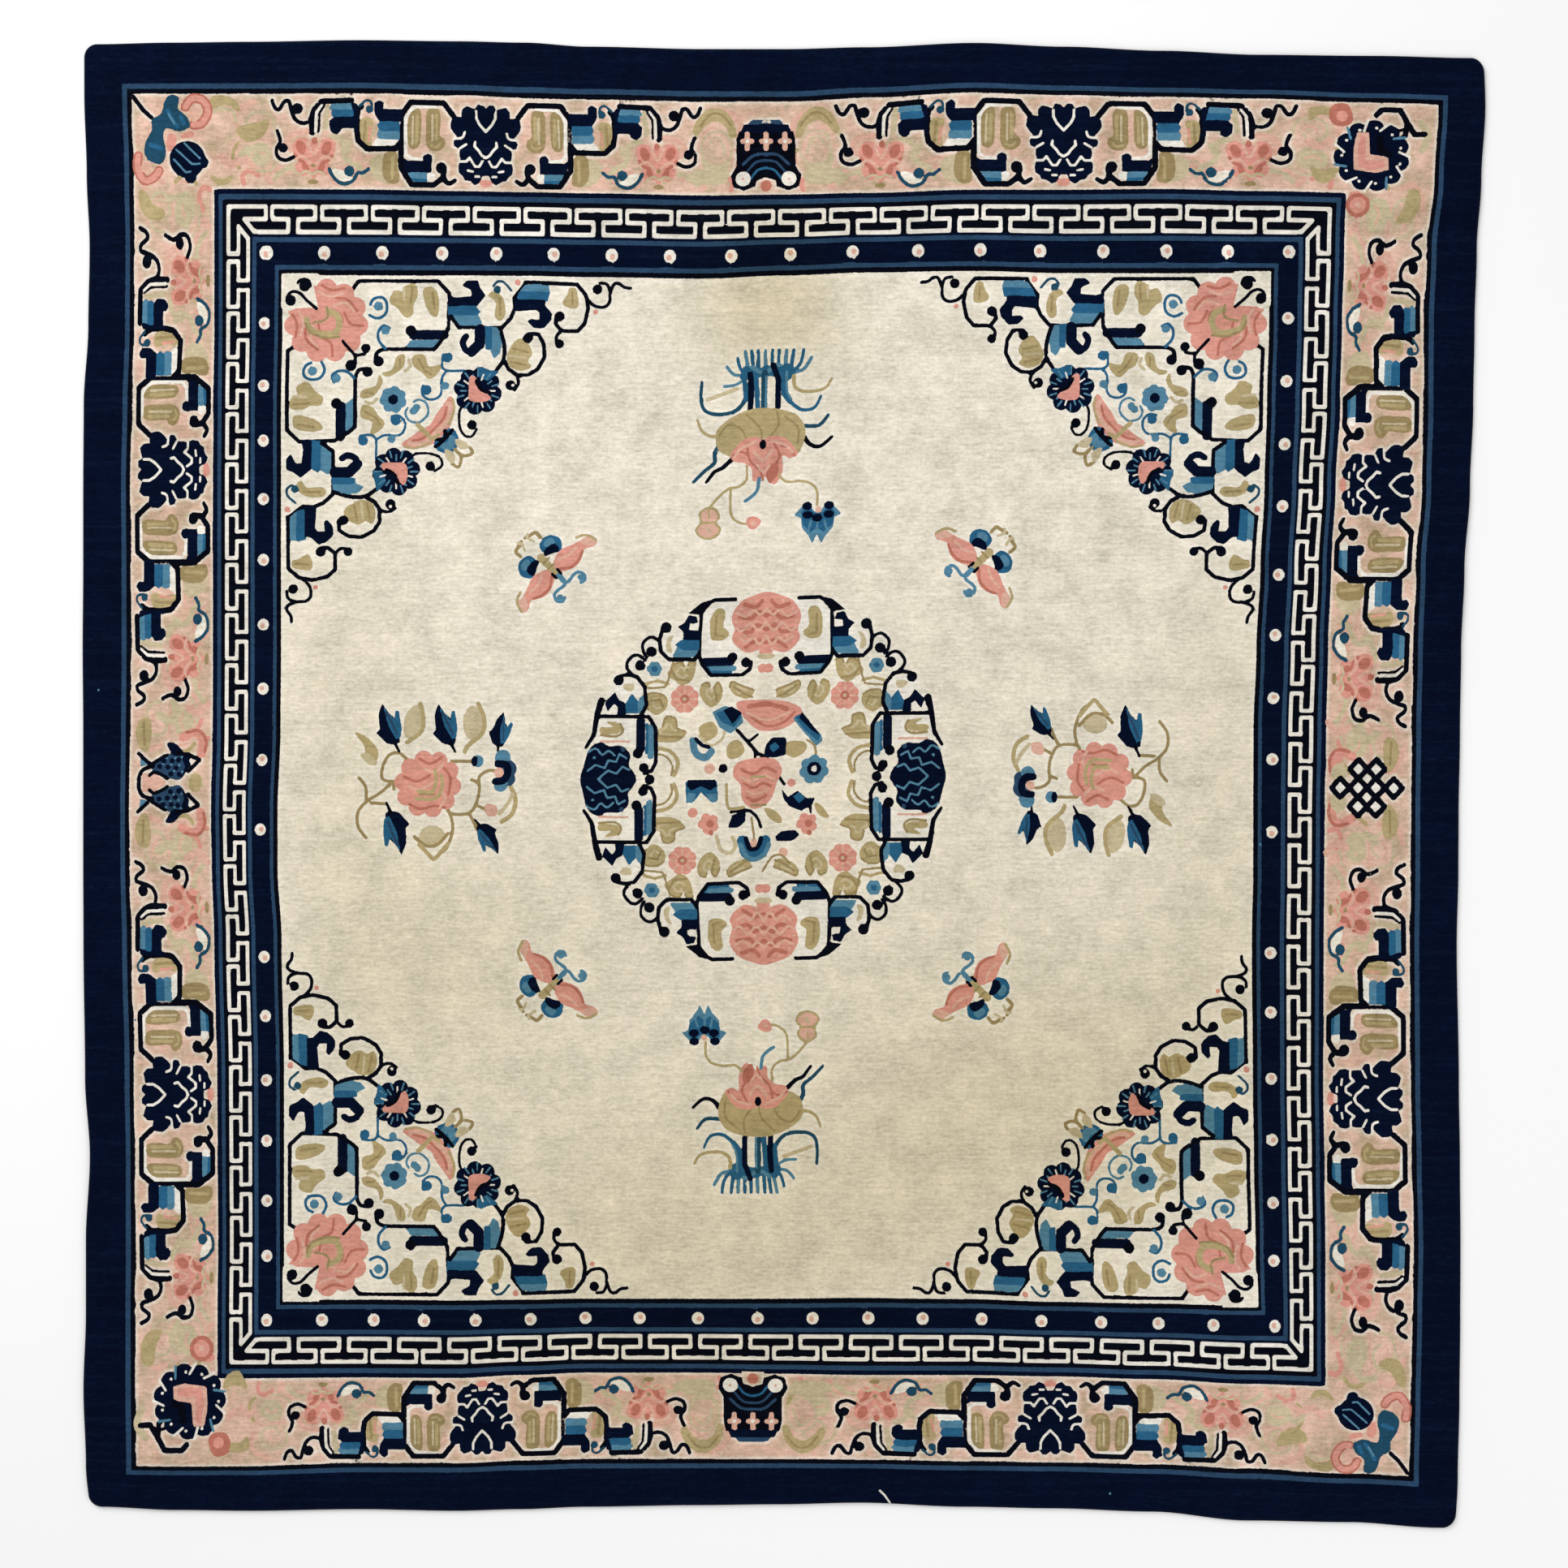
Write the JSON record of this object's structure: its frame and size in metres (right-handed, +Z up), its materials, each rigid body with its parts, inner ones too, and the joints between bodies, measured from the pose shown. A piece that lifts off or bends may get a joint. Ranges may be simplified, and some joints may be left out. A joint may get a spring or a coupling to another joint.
{
  "type": "chinese art deco rug",
  "caption": "Flat hand-knotted wool rug, nearly square, with slightly wandering sides, worn round corners and a bevelled pile edge.",
  "frame": {"origin": "middle of the rug's box, on the floor that it lies on", "axes": "+X along the shorter sides, +Y along the longer sides, +Z up out of the pile"},
  "size_m": [2.5949, 2.7496, 0.0159],
  "materials": {
    "wool_pile": "matte hand-knotted wool pile in cream, peach, pink, gold, blue, navy and black"
  },
  "bodies": {
    "root": {"rug": "wool_pile"}
  },
  "joints": []
}
